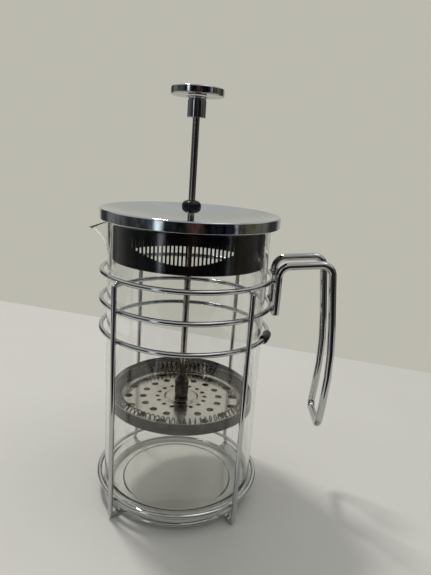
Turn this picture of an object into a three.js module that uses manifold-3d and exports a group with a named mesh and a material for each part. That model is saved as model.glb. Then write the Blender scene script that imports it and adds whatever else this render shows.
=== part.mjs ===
// A french press: a glass beaker in a chromed wire frame with a two-rod handle, and a plunger with a
// spring-edged mesh filter under a dished lid.
//
// Millimetres, +Z up. Everything is built around the press axis; the whole group is then moved so
// that the origin is under the middle of the bounding box, on the surface the feet stand on. The
// handle is on the +X side and the pouring spout on the -X side.

import * as THREE from 'three';
import { mergeVertices } from 'three/addons/utils/BufferGeometryUtils.js';
import loadManifold from 'manifold-3d';

const manifoldModule = await loadManifold();
manifoldModule.setup();
const { Manifold, Mesh } = manifoldModule;

// ---------- driving dimensions ----------

const GAP = 0.3; // clearance kept between neighbouring solids
const PRESS_AXIS_X = -16.59; // where the press axis stands, so that the footprint is centred

// Wire frame
const WIRE_R = 1.5;
const RING_R = 52; // centre line of the four rings round the beaker
const RING_HEIGHTS = { ring_top: 148.8, ring_middle: 131.5, ring_lower: 113.9, ring_base: 12.6 };
const SUPPORT_RING_R = 47.2; // the ring that the beaker stands on
const SUPPORT_RING_Z = 3;
const UPRIGHT_R = RING_R + 2 * WIRE_R + GAP;
const UPRIGHT_ANGLES = { front_left: -135, front_right: -49.6, back_right: 48.4, back_left: 128.2 };
const UPRIGHT_TOP_Z = RING_HEIGHTS.ring_top - WIRE_R - GAP;
const FOOT_BEND_R = 2.2;
const FOOT_LENGTH = 3.6;
const FOOT_FLAT = 0.25; // height worn off the wire where a foot stands
const TOE_Z = 2.6;

// Handle
const HANDLE_ROD_R = 2.35;
const HANDLE_AZIMUTH = -4;
const HANDLE_HALF_SPACING = 14; // between the axis plane and each rod
const HANDLE_LEG_R = 54.4;
const HANDLE_LEG_END_Z = 128.5;
const HANDLE_SHOULDER = { reach: 54.4, z: 158, bend: 7.5 };
const HANDLE_CREST = { reach: 85, z: 161.4, bend: 6.5 };
const HANDLE_BELLY = { reach: 91.9, z: 98, bend: 250 };
const HANDLE_FOOT = { reach: 88.3, z: 57.3, bend: 5 };

// Rubber sleeve on the lower ring
const RING_SLEEVE_R = 2.8;
const RING_SLEEVE_SPAN = [-27, -11];

// Beaker
const GLASS_OUTER_R = 48.7;
const GLASS_WALL = 2;
const GLASS_INNER_R = GLASS_OUTER_R - GLASS_WALL;
const GLASS_BOTTOM_Z = 3.5;
const GLASS_FLOOR = 4;
const GLASS_HEEL_R = 6;
const GLASS_RIM_Z = 178.7;
const SPOUT_ANGLE = 180;
const SPOUT_HALF_ANGLE = 21;
const SPOUT_START_Z = 155;
const SPOUT_REACH = 12.2;
const SPOUT_DROP = 6.4;

// Lid
const LID_R = 53.7;
const LID_SHEET = 0.8;
const LID_RIM_Z = 185.5;
const LID_SKIRT_Z = 179.4;
const LID_DISH_Z = 178;
const LID_HOLE_R = 4.6;
const FLANGE_R = 51.3;
const FLANGE_Z = GLASS_RIM_Z + GAP;
const FLANGE_THICKNESS = 1.4;
const SLEEVE_OUTER_R = 45.7;
const SLEEVE_WALL = 1.8;
const SLEEVE_BOTTOM_Z = 156;
const SLEEVE_WEB = { bottom: 173.8, top: 175.4 };
const SLOT_COUNT = 26;
const SLOT_WIDTH = 1.1;
const SLOT_TOP_Z = 172.5;
const SLOT_LOW_Z = 160.9;
const SLOT_RISE = 5.8; // how much higher the outermost slots end than the middle ones
const SLOT_MIDDLE_X = -3.3; // the slots are all cut straight in along Y
const SLOT_HALF_SPREAD = 26.3;
const NUB_ANGLES = [-102.7, -72.5];
const NUB_R = 1.3;
const NUB_Z = 157.6;

// Rod, its guide and its knob
const ROD_R = 2.05;
const ROD_BORE_R = ROD_R + GAP;
const ROD_BOTTOM_Z = 71.2;
const ROD_TOP_Z = 246.4;
const GUIDE_TUBE_R = 4;
const GUIDE_BOTTOM_Z = 170.8;
const GUIDE_FLANGE = { r: 6, thickness: 0.7, chamfer: 0.4 };
const GUIDE_NUT_R = 7;
const GUIDE_NUT_BOTTOM_Z = 171.3;
const BEAD_R = 5.8;
const BEAD_Z = [184.2, 191.6];
const COLLAR_R = 5.4;
const COLLAR_Z = [238.2, 249.7];
const KNOB_R = 15.35;
const KNOB_Z = [250, 254.3];

// Filter
const HUB_R = 4.5;
const HUB_Z = [65.2, 76.5];
const HUB_NECK = { r: 3.2, top: 79 };
const PLATE_R = 45.5;
const PLATE_TOP_Z = 63.7;
const PLATE_SHEET = 0.8;
const PLATE_BOSS = { r: 9.4, foot: 11.8, rise: 1.2 };
const PLATE_LEDGE = { inner: 37.4, outer: 38.6, rise: 1.1 }; // carries the spring
const PLATE_RIM_TOP_Z = 69.5;
const PLATE_HOLES = [
    { circle: 15.5, r: 1.45, count: 16, turn: 2 },
    { circle: 24.8, r: 2.3, count: 16, turn: 3 },
    { circle: 34.1, r: 2.6, count: 16, turn: 3 },
];
const SPRING_R = 41.3;
const SPRING_COIL_R = 3.1;
const SPRING_Z = 68.2;
const MESH_R = 46.2;
const MESH_SHEET = 0.4;
const MESH_Z = [61.9, 71];
const CROSS_Z = [60.4, 61.5];
const CROSS_R = 40;
const CROSS_WINDOW = { inner: 12, outer: 34.5, halfAngle: 37 };
const STUD_R = 2;
const STUD_TOP_Z = 70.7;
const STUD_HEAD = { r: 5, bottom: 59.2 };
const STUD_HOLE_R = STUD_R + GAP;

// ---------- materials ----------

const chrome = new THREE.MeshStandardMaterial({ color: 0xb9bbb8, roughness: 0.12, metalness: 1 });
const satinChrome = new THREE.MeshStandardMaterial({ color: 0xa9adab, roughness: 0.22, metalness: 1 });
const filterSteel = new THREE.MeshStandardMaterial({ color: 0x8d877a, roughness: 0.35, metalness: 1 });
const wovenSteel = new THREE.MeshStandardMaterial({ color: 0x57524a, roughness: 0.5, metalness: 1 });
const glass = new THREE.MeshStandardMaterial({
    color: 0xe6ebe4, roughness: 0.03, metalness: 0, transparent: true, opacity: 0.3,
});
const blackPlastic = new THREE.MeshStandardMaterial({ color: 0x121212, roughness: 0.3, metalness: 0 });
const blackRubber = new THREE.MeshStandardMaterial({ color: 0x0e0e0e, roughness: 0.6, metalness: 0 });

// ---------- geometry helpers ----------

const radians = THREE.MathUtils.degToRad;

// A point in cylindrical coordinates round the press axis.
function polar(r, degrees, z) {
    const angle = radians(degrees);
    return new THREE.Vector3(r * Math.cos(angle), r * Math.sin(angle), z);
}

// Welds equal vertices, drops collapsed triangles and turns the faces outwards.
function closed(geometry) {
    const bare = new THREE.BufferGeometry();
    bare.setAttribute('position', geometry.getAttribute('position').clone());
    bare.setIndex(geometry.index);
    const welded = mergeVertices(bare, 1e-4);
    const position = welded.getAttribute('position');
    const corners = [0, 1, 2].map(() => new THREE.Vector3());
    const kept = [];
    let volume = 0;
    for (let i = 0; i < welded.index.count; i += 3) {
        const triangle = [0, 1, 2].map((k) => welded.index.getX(i + k));
        if (new Set(triangle).size < 3) continue;
        corners.forEach((corner, k) => corner.fromBufferAttribute(position, triangle[k]));
        volume += corners[0].dot(corners[1].clone().cross(corners[2]));
        kept.push(triangle);
    }
    if (volume < 0) kept.forEach((triangle) => triangle.reverse());
    welded.setIndex(kept.flat());
    welded.computeVertexNormals();
    return welded;
}

// Revolves a profile of [radius, z] points round Z. The profile ends on the axis or meets itself.
function revolved(profile, segments = 48) {
    const points = profile.map(([r, z]) => new THREE.Vector2(r, z));
    const geometry = new THREE.LatheGeometry(points, segments);
    geometry.rotateX(Math.PI / 2);
    return closed(geometry);
}

// The points of an arc in a profile, between two angles in degrees.
function arc([r, z], radius, from, to, steps) {
    return Array.from({ length: steps + 1 }, (_, i) => {
        const angle = radians(from + (to - from) * i / steps);
        return [r + radius * Math.cos(angle), z + radius * Math.sin(angle)];
    });
}

// A route that takes one step for each of its points, so a sweep is only as fine as its bends need.
class Route extends THREE.Curve {
    constructor(points) {
        super();
        this.points = points;
    }

    getPoint(t, target = new THREE.Vector3()) {
        const place = t * (this.points.length - 1);
        const before = Math.min(Math.floor(place), this.points.length - 2);
        return target.lerpVectors(this.points[before], this.points[before + 1], place - before);
    }

    getUtoTmapping(u) {
        return u;
    }
}

// The points of a bent rod: straight between its corners, which are { at, bend } with a bend radius.
function bentRoute(start, corners, end) {
    const stops = [start, ...corners.map((corner) => corner.at), end];
    const points = [start];
    corners.forEach(({ at, bend }, i) => {
        const towards = at.clone().sub(stops[i]).normalize();
        const away = stops[i + 2].clone().sub(at).normalize();
        const turn = towards.angleTo(away);
        const reach = bend * Math.tan(turn / 2);
        const centre = at.clone().addScaledVector(away.clone().sub(towards).normalize(),
            bend / Math.cos(turn / 2));
        const spoke = at.clone().addScaledVector(towards, -reach).sub(centre);
        const hinge = towards.clone().cross(away).normalize();
        const steps = Math.max(2, Math.ceil(turn / radians(18)));
        for (let k = 0; k <= steps; k += 1) {
            points.push(spoke.clone().applyAxisAngle(hinge, turn * k / steps).add(centre));
        }
    });
    points.push(end);
    return points;
}

// A round section, with an optional hole, to sweep along a route.
function roundSection(radius, sides, holeRadius = 0) {
    const circle = (r) => Array.from({ length: sides }, (_, i) => {
        const angle = 2 * Math.PI * (i + 0.5) / sides;
        return new THREE.Vector2(r * Math.cos(angle), r * Math.sin(angle));
    });
    const shape = new THREE.Shape(circle(radius));
    if (holeRadius > 0) shape.holes.push(new THREE.Path(circle(holeRadius).reverse()));
    return shape;
}

function swept(points, section) {
    const options = { steps: points.length - 1, extrudePath: new Route(points), bevelEnabled: false };
    return closed(new THREE.ExtrudeGeometry(section, options));
}

// Extrudes a shape along Z between two heights.
function prism(shape, bottom, top) {
    const geometry = new THREE.ExtrudeGeometry(shape, { depth: top - bottom, bevelEnabled: false });
    geometry.translate(0, 0, bottom);
    return closed(geometry);
}

function polygon(radius, sides) {
    return new THREE.Shape(Array.from({ length: sides }, (_, i) => {
        const angle = 2 * Math.PI * i / sides;
        return new THREE.Vector2(radius * Math.cos(angle), radius * Math.sin(angle));
    }));
}

function toManifold(geometry) {
    return new Manifold(new Mesh({
        numProp: 3,
        vertProperties: new Float32Array(geometry.getAttribute('position').array),
        triVerts: new Uint32Array(geometry.index.array),
    }));
}

function fromManifold(solid) {
    const mesh = solid.getMesh();
    const geometry = new THREE.BufferGeometry();
    geometry.setAttribute('position', new THREE.BufferAttribute(mesh.vertProperties, 3));
    geometry.setIndex(new THREE.BufferAttribute(mesh.triVerts, 1));
    geometry.computeVertexNormals();
    return geometry;
}

function cutAway(body, tools) {
    const solid = tools.reduce((left, tool) => left.subtract(toManifold(tool)), toManifold(body));
    return fromManifold(solid);
}

function joined(body, additions) {
    const solid = additions.reduce((whole, piece) => whole.add(toManifold(piece)), toManifold(body));
    return fromManifold(solid);
}

// ---------- wire frame ----------

function ring(radius, z) {
    const geometry = new THREE.TorusGeometry(radius, WIRE_R, 8, 48);
    geometry.translate(0, 0, z);
    return closed(geometry);
}

// A wire that stands outside the rings, turns sharply at its foot and runs in to the support ring.
function upright(angle) {
    const footZ = WIRE_R - FOOT_FLAT;
    const top = new THREE.Vector3(UPRIGHT_R, 0, UPRIGHT_TOP_Z);
    const foot = { at: new THREE.Vector3(UPRIGHT_R, 0, footZ), bend: FOOT_BEND_R };
    const heel = { at: new THREE.Vector3(UPRIGHT_R - FOOT_LENGTH, 0, footZ), bend: 1 };
    const toe = new THREE.Vector3(SUPPORT_RING_R + WIRE_R + GAP, 0, TOE_Z);
    const wire = swept(bentRoute(top, [foot, heel], toe), roundSection(WIRE_R, 8));
    const worn = closed(new THREE.BoxGeometry(20, 20, 10).translate(UPRIGHT_R, 0, -5));
    return cutAway(wire, [worn]).rotateZ(radians(angle));
}

// One rod, bent down, in and back up: its two ends are welded outside the upper rings.
function handle() {
    const place = ({ reach, z }, side) => new THREE.Vector3(reach, side * HANDLE_HALF_SPACING, z)
        .applyAxisAngle(new THREE.Vector3(0, 0, 1), radians(HANDLE_AZIMUTH));
    const corner = (bend, side) => ({ at: place(bend, side), bend: bend.bend });
    const end = { reach: HANDLE_LEG_R, z: HANDLE_LEG_END_Z };
    const down = [HANDLE_SHOULDER, HANDLE_CREST, HANDLE_BELLY, HANDLE_FOOT];
    const corners = [
        ...down.map((bend) => corner(bend, -1)),
        ...down.toReversed().map((bend) => corner(bend, 1)),
    ];
    return swept(bentRoute(place(end, -1), corners, place(end, 1)), roundSection(HANDLE_ROD_R, 10));
}

// A short soft tube threaded on the lower ring, which steadies the glass.
function ringSleeve() {
    const [from, to] = RING_SLEEVE_SPAN;
    const points = Array.from({ length: 7 }, (_, i) =>
        polar(RING_R, from + (to - from) * i / 6, RING_HEIGHTS.ring_lower));
    return swept(points, roundSection(RING_SLEEVE_R, 12, WIRE_R + GAP));
}

// ---------- beaker ----------

// Draws the wall out into a spout: outwards and down, most at the rim and on the spout's centre line.
function drawSpout(geometry) {
    const position = geometry.getAttribute('position');
    const point = new THREE.Vector3();
    for (let i = 0; i < position.count; i += 1) {
        point.fromBufferAttribute(position, i);
        const angle = THREE.MathUtils.radToDeg(Math.atan2(point.y, point.x));
        const off = Math.abs(THREE.MathUtils.euclideanModulo(angle - SPOUT_ANGLE + 180, 360) - 180);
        if (off >= SPOUT_HALF_ANGLE || point.z <= SPOUT_START_Z) continue;
        const across = Math.cos(Math.PI / 2 * off / SPOUT_HALF_ANGLE) ** 2;
        const up = (point.z - SPOUT_START_Z) / (GLASS_RIM_Z - SPOUT_START_Z);
        const flare = up * up * (1.9 - 0.9 * up);
        const r = Math.hypot(point.x, point.y);
        const stretch = (r + SPOUT_REACH * across * flare) / r;
        const lowered = point.z - SPOUT_DROP * across * up ** 3;
        position.setXYZ(i, point.x * stretch, point.y * stretch, lowered);
    }
    return geometry;
}

function glassBeaker() {
    const floorZ = GLASS_BOTTOM_Z + GLASS_FLOOR;
    const heelR = GLASS_HEEL_R - GLASS_WALL + 1;
    const wallHeights = [SPOUT_START_Z, 160, 165, 169, 172.5, 175.5];
    const profile = [
        [0, GLASS_BOTTOM_Z],
        ...arc([GLASS_OUTER_R - GLASS_HEEL_R, GLASS_BOTTOM_Z + GLASS_HEEL_R], GLASS_HEEL_R, -90, 0, 3),
        ...wallHeights.map((z) => [GLASS_OUTER_R, z]),
        [GLASS_OUTER_R, GLASS_RIM_Z - 0.5],
        [GLASS_OUTER_R - 0.5, GLASS_RIM_Z],
        [GLASS_INNER_R + 0.5, GLASS_RIM_Z],
        [GLASS_INNER_R, GLASS_RIM_Z - 0.5],
        ...wallHeights.toReversed().map((z) => [GLASS_INNER_R, z]),
        ...arc([GLASS_INNER_R - heelR, floorZ + heelR], heelR, 0, -90, 3),
        [0, floorZ],
    ];
    return drawSpout(revolved(profile, 60));
}

// ---------- lid ----------

function dishHeight(r) {
    return LID_DISH_Z + (LID_RIM_Z - 0.2 - LID_DISH_Z) * (r / (LID_R - 2)) ** 2;
}

// Pressed sheet: a dished top with a rounded rim and a short skirt.
function lidCap() {
    const dishEdge = LID_R - 2;
    const stations = [dishEdge, 40, 26, 12, LID_HOLE_R];
    const top = stations.map((r) => [r, dishHeight(r)]);
    const underside = top.map(([r, z]) => [r === dishEdge ? r - 0.3 : r, z - LID_SHEET]);
    const profile = [
        [LID_R, LID_SKIRT_Z],
        [LID_R, LID_RIM_Z - 0.9],
        [LID_R - 0.3, LID_RIM_Z - 0.25],
        [LID_R - 0.9, LID_RIM_Z],
        ...top,
        ...underside.toReversed(),
        [LID_R - LID_SHEET, LID_RIM_Z - 1.2],
        [LID_R - LID_SHEET, LID_SKIRT_Z],
        [LID_R, LID_SKIRT_Z],
    ];
    return revolved(profile, 56);
}

function slot(index) {
    const across = 2 * index / (SLOT_COUNT - 1) - 1;
    const low = SLOT_LOW_Z + SLOT_RISE * across ** 2;
    const x = SLOT_MIDDLE_X + across * SLOT_HALF_SPREAD;
    const wallY = -Math.sqrt((SLEEVE_OUTER_R - SLEEVE_WALL / 2) ** 2 - x ** 2);
    const cutter = new THREE.BoxGeometry(SLOT_WIDTH, 4 * SLEEVE_WALL, SLOT_TOP_Z - low);
    return closed(cutter.translate(x, wallY, (SLOT_TOP_Z + low) / 2));
}

// The moulded insert: a flange on the beaker's rim, a web with the guide's hole, and a slotted sleeve.
function strainerSleeve() {
    const inner = SLEEVE_OUTER_R - SLEEVE_WALL;
    const flangeTop = FLANGE_Z + FLANGE_THICKNESS;
    const profile = [
        [inner, SLEEVE_BOTTOM_Z],
        [SLEEVE_OUTER_R, SLEEVE_BOTTOM_Z],
        [SLEEVE_OUTER_R, FLANGE_Z],
        [FLANGE_R, FLANGE_Z],
        [FLANGE_R, flangeTop],
        [inner, flangeTop],
        [inner, SLEEVE_WEB.top],
        [LID_HOLE_R, SLEEVE_WEB.top],
        [LID_HOLE_R, SLEEVE_WEB.bottom],
        [inner, SLEEVE_WEB.bottom],
        [inner, SLEEVE_BOTTOM_Z],
    ];
    const nubs = NUB_ANGLES.map((angle) => {
        const nub = new THREE.SphereGeometry(NUB_R, 10, 6);
        const place = polar(SLEEVE_OUTER_R - NUB_R + 0.5, angle, NUB_Z);
        nub.translate(place.x, place.y, place.z);
        return closed(nub);
    });
    const slots = Array.from({ length: SLOT_COUNT }, (_, i) => slot(i));
    return cutAway(joined(revolved(profile, 64), nubs), slots);
}

// The threaded guide that the rod slides in; its flange and nut clamp the lid's two layers.
function guideBushing() {
    const seatZ = LID_DISH_Z + GAP;
    const { r, thickness, chamfer } = GUIDE_FLANGE;
    return revolved([
        [ROD_BORE_R, GUIDE_BOTTOM_Z],
        [GUIDE_TUBE_R, GUIDE_BOTTOM_Z],
        [GUIDE_TUBE_R, seatZ],
        [r, dishHeight(r) + GAP],
        [r, seatZ + thickness - chamfer / 2],
        [r - chamfer, seatZ + thickness],
        [ROD_BORE_R, seatZ + thickness],
        [ROD_BORE_R, GUIDE_BOTTOM_Z],
    ], 24);
}

function guideNut() {
    const nut = prism(polygon(GUIDE_NUT_R, 6), GUIDE_NUT_BOTTOM_Z, SLEEVE_WEB.bottom - GAP);
    const bore = prism(polygon(GUIDE_TUBE_R + GAP, 24), GUIDE_NUT_BOTTOM_Z - 1, SLEEVE_WEB.bottom + 1);
    return cutAway(nut, [bore]);
}

// A barrel-shaped rubber stop on the rod, above the lid.
function rodBead() {
    const [bottom, top] = BEAD_Z;
    const middle = (bottom + top) / 2;
    const half = (top - bottom) / 2;
    return revolved([
        [ROD_BORE_R, bottom],
        ...arc([BEAD_R - half, middle], half, -90, 90, 8),
        [ROD_BORE_R, top],
        [ROD_BORE_R, bottom],
    ], 28);
}

// ---------- plunger ----------

function plungerRod() {
    const rod = new THREE.CylinderGeometry(ROD_R, ROD_R, ROD_TOP_Z - ROD_BOTTOM_Z, 20);
    rod.rotateX(Math.PI / 2);
    rod.translate(0, 0, (ROD_TOP_Z + ROD_BOTTOM_Z) / 2);
    return closed(rod);
}

function knobCollar() {
    const [bottom, top] = COLLAR_Z;
    const boreTop = ROD_TOP_Z + GAP;
    return revolved([
        [ROD_BORE_R, bottom],
        [COLLAR_R - 0.4, bottom],
        [COLLAR_R, bottom + 0.4],
        [COLLAR_R, top],
        [0, top],
        [0, boreTop],
        [ROD_BORE_R, boreTop],
        [ROD_BORE_R, bottom],
    ], 28);
}

function knobDisc() {
    const [bottom, top] = KNOB_Z;
    return revolved([
        [0, bottom],
        [KNOB_R - 0.6, bottom],
        [KNOB_R, bottom + 0.6],
        [KNOB_R, top - 0.9],
        [KNOB_R - 0.3, top - 0.3],
        [KNOB_R - 1, top],
        [0, top],
    ], 48);
}

function filterHub() {
    const [bottom, top] = HUB_Z;
    return revolved([
        [ROD_BORE_R, bottom],
        [HUB_R, bottom],
        [HUB_R, top - 0.4],
        [HUB_R - 0.4, top],
        [HUB_NECK.r, top],
        [HUB_NECK.r, HUB_NECK.top],
        [ROD_BORE_R, HUB_NECK.top],
        [ROD_BORE_R, bottom],
    ], 24);
}

// ---------- filter ----------

function platePunch({ circle, r, count, turn }) {
    return Array.from({ length: count }, (_, i) => {
        const punch = prism(polygon(r, 8), PLATE_TOP_Z - 3, PLATE_TOP_Z + 3);
        const place = polar(circle, turn + 360 * i / count, 0);
        return punch.translate(place.x, place.y, 0);
    });
}

// The perforated plate that presses the mesh against the cross plate: a boss at the hub, and at the
// edge a ledge and an upturned rim that hold the spring.
function filterPlate() {
    const bottom = PLATE_TOP_Z - PLATE_SHEET;
    const { r, foot, rise } = PLATE_BOSS;
    const { inner, outer, rise: ledge } = PLATE_LEDGE;
    const plate = revolved([
        [STUD_HOLE_R, bottom + rise],
        [r, bottom + rise],
        [foot, bottom],
        [inner + 0.2, bottom],
        [outer + 0.2, bottom + ledge],
        [PLATE_R, bottom + ledge],
        [PLATE_R, PLATE_RIM_TOP_Z],
        [PLATE_R - PLATE_SHEET, PLATE_RIM_TOP_Z],
        [PLATE_R - PLATE_SHEET, PLATE_TOP_Z + ledge],
        [outer, PLATE_TOP_Z + ledge],
        [inner, PLATE_TOP_Z],
        [foot - 0.2, PLATE_TOP_Z],
        [r - 0.2, PLATE_TOP_Z + rise],
        [STUD_HOLE_R, PLATE_TOP_Z + rise],
        [STUD_HOLE_R, bottom + rise],
    ], 48);
    return cutAway(plate, PLATE_HOLES.flatMap(platePunch));
}

// The outer shape of the coil spring that holds the mesh's edge against the glass.
function filterSpring() {
    const geometry = new THREE.TorusGeometry(SPRING_R, SPRING_COIL_R, 10, 48);
    geometry.translate(0, 0, SPRING_Z);
    return closed(geometry);
}

// The woven screen, as a closed sheet: a floor with its edge turned up round the spring.
function filterMesh() {
    const [bottom, top] = MESH_Z;
    const inner = MESH_R - MESH_SHEET;
    return revolved([
        [STUD_HOLE_R, bottom],
        [MESH_R - 2, bottom],
        [MESH_R, bottom + 2],
        [MESH_R, top],
        [inner, top],
        [inner, bottom + 2.2],
        [inner - 1.8, bottom + MESH_SHEET],
        [STUD_HOLE_R, bottom + MESH_SHEET],
        [STUD_HOLE_R, bottom],
    ], 56);
}

// The stiff cross under the mesh, with the stud that screws up into the hub.
function crossPlate() {
    const [bottom, top] = CROSS_Z;
    const plate = revolved([
        [0, STUD_HEAD.bottom],
        [STUD_HEAD.r - 0.6, STUD_HEAD.bottom],
        [STUD_HEAD.r, bottom],
        [CROSS_R, bottom],
        [CROSS_R, top],
        [STUD_R, top],
        [STUD_R, STUD_TOP_Z],
        [0, STUD_TOP_Z],
    ], 48);
    const { inner, outer, halfAngle } = CROSS_WINDOW;
    const windows = [0, 90, 180, 270].map((angle) => {
        const shape = new THREE.Shape();
        shape.absarc(0, 0, outer, radians(angle - halfAngle), radians(angle + halfAngle), false);
        shape.absarc(0, 0, inner, radians(angle + halfAngle), radians(angle - halfAngle), true);
        const outline = new THREE.Shape(shape.getPoints(8));
        return prism(outline, bottom - 1, top + 1);
    });
    return cutAway(plate, windows);
}

// ---------- assembly ----------

const press = new THREE.Group();
press.position.x = PRESS_AXIS_X;

function addPart(name, geometry, material) {
    const mesh = new THREE.Mesh(geometry, material);
    mesh.name = name;
    press.add(mesh);
}

for (const [name, z] of Object.entries(RING_HEIGHTS)) addPart(name, ring(RING_R, z), chrome);
addPart('ring_support', ring(SUPPORT_RING_R, SUPPORT_RING_Z), chrome);
for (const [name, angle] of Object.entries(UPRIGHT_ANGLES)) {
    addPart(`upright_${name}`, upright(angle), chrome);
}
addPart('handle', handle(), chrome);
addPart('ring_sleeve', ringSleeve(), blackRubber);

addPart('glass_beaker', glassBeaker(), glass);

addPart('lid_cap', lidCap(), satinChrome);
addPart('strainer_sleeve', strainerSleeve(), blackPlastic);
addPart('guide_bushing', guideBushing(), chrome);
addPart('guide_nut', guideNut(), chrome);
addPart('rod_bead', rodBead(), blackRubber);

addPart('plunger_rod', plungerRod(), chrome);
addPart('knob_collar', knobCollar(), chrome);
addPart('knob_disc', knobDisc(), chrome);
addPart('filter_hub', filterHub(), filterSteel);

addPart('filter_plate', filterPlate(), filterSteel);
addPart('filter_spring', filterSpring(), filterSteel);
addPart('filter_mesh', filterMesh(), wovenSteel);
addPart('cross_plate', crossPlate(), filterSteel);

export default press;
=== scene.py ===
"""A french press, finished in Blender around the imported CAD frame.

Sizes below are millimetres from the press axis, +Z up; piece() turns them into metres in the row
frame.
"""

import math

import bmesh
import bpy
from mathutils import Matrix, Vector
from mathutils.geometry import delaunay_2d_cdt


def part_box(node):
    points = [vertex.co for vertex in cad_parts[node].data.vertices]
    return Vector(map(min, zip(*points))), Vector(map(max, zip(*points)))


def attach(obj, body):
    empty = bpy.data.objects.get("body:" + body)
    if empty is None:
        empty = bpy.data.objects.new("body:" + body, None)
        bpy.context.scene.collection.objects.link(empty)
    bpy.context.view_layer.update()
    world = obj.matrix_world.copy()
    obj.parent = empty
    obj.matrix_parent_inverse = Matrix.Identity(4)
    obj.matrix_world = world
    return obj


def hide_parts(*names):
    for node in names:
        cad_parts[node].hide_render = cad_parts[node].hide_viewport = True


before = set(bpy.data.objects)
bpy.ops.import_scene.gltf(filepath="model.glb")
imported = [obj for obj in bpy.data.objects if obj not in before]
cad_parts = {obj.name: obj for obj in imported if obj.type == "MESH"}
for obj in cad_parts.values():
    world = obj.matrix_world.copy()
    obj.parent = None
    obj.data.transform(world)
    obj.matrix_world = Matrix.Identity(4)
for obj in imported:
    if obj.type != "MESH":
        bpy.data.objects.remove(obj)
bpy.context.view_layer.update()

MM = 0.001
MERGE_DISTANCE = 1e-7


# ---------- places, from the frame ----------

def press_axis():
    """The middle of the knob, which is turned about the press axis."""
    low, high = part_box("knob_disc")
    return (low + high) / 2


AXIS = press_axis()


def span(node):
    """A CAD node's lowest and highest corner, in millimetres from the press axis."""
    shift = Vector((AXIS.x, AXIS.y, 0))
    return [(Vector(corner) - shift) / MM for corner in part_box(node)]


def ring_size(node):
    """(radius of the centre line, radius of the wire, height) of a wire ring."""
    low, high = span(node)
    wire = (high.z - low.z) / 2
    return (high.y - low.y) / 2 - wire, wire, (high.z + low.z) / 2


def turned_size(node):
    """(outer radius, lowest z, highest z) of a turned node."""
    low, high = span(node)
    return (high.y - low.y) / 2, low.z, high.z


# ---------- sizes that no box gives ----------

RING_STEPS = 160
WIRE_SIDES = 16
UPRIGHT_ANGLES = {"front_left": -135, "front_right": -49.6, "back_right": 48.4, "back_left": 128.2}
FOOT_BEND = 2.2
FOOT_LENGTH = 3.6
TOE_BEND = 1
TOE_OVERLAP = 0.8
WIRE_END_ROUNDING = 0.5

# Half a weld's size along its first direction, along its second and across both
RING_WELD = (1.7, 0.75, 0.85)
TOP_WELD = (1.3, 1.2, 1.0)
TOE_WELD = (1.2, 1.2, 1.4)
HANDLE_WELD = (2.1, 0.9, 1.3)
WELD_GAP = 0.3

# The handle's bends are (corner, radius), and its places (distance from the axis, height)
HANDLE_AZIMUTH = -4
HANDLE_HALF_SPACING = 14
HANDLE_ROD = 2.35
HANDLE_SIDES = 24
HANDLE_END = (54.4, 128.5)
HANDLE_BENDS = [((54.4, 158), 7.5), ((85, 161.4), 6.5), ((91.9, 98), 250), ((88.3, 57.3), 5)]

SLEEVE_SPAN = (-27, -11)  # degrees round the lower ring
SLEEVE_STEPS = 24
SLEEVE_END_STEPS = 3
SLEEVE_LEAST_WALL = 0.1

GLASS_STEPS = 192
GLASS_WALL = 2
GLASS_FLOOR = 4
GLASS_FLOOR_DIP = [(20, 0.2), (0, 0.3)]  # (radius, depth)
GLASS_HEEL = 7.5
GLASS_HEEL_INSIDE = 8.5
GLASS_WALL_ROWS = (60, 110)
PUNT_R = 36.5
PUNT_DEPTH = 1.8
PUNT_DOME = [(0, 1), (14, 0.99), (26, 0.96), (33, 0.9)]  # (radius, share of the depth)
PUNT_SHOULDER = 0.87
PUNT_ROUNDING = 0.6
SPOUT_ANGLE = 180
SPOUT_HALF_ANGLE = 21
SPOUT_START = 155
SPOUT_ROWS = 16
SPOUT_REACH = 12.2
SPOUT_FLARE = 0.9
SPOUT_DROP = 6.4

LID_STEPS = 192
LID_SHEET = 0.8
LID_SKIRT_Z = 179.4
LID_HEM = 0.3
LID_ROUNDING = 1
LID_BORDER = 2
LID_BORDER_DROP = 0.2
LID_DISH_Z = 178
LID_DISH_ROWS = 14
LID_HOLE_R = 4.6

STRAINER_STEPS = 160
STRAINER_R = 45.7
STRAINER_WALL = 1.8
STRAINER_LIP = 0.5
STRAINER_WEB = (173.8, 175.4)
STRAINER_EDGE = 0.15
FLANGE_Z = 179
FLANGE_SHEET = 1.4
SLOT_COUNT = 26
SLOT_WIDTH = 1.1
SLOT_TOP = 172.5
SLOT_LOW = 160.9
SLOT_RISE = 5.8
SLOT_MIDDLE_X = -3.3
SLOT_HALF_SPREAD = 26.3
NUB_ANGLES = (-102.7, -72.5)
NUB_SIZE = (1.3, 0.8, 1.0)
NUB_LIFT = 1.6
NUB_INSET = 0.35

GUIDE_TUBE_R = 4
GUIDE_FLANGE = 0.7
BEAD_ROUNDNESS = 0.86
ROD_BORE = 2.35
COLLAR_NECK_DEPTH = 0.35
KNOB_RECESS_R = 6.4
KNOB_RECESS = 0.25
HUB_SHOULDER = 2.5
HUB_NECK_R = 3.2

SHEET_STEPS = 144
SHEET_TOLERANCE = 1e-5
PLATE_SHEET = 0.8
PLATE_TOP_Z = 63.7
PLATE_BOSS = (9.4, 11.8, 1.2)  # (radius on top, radius at the foot, height)
PLATE_LEDGE = (37.4, 38.6, 1.1)  # (radius at the foot, radius on top, height)
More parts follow.
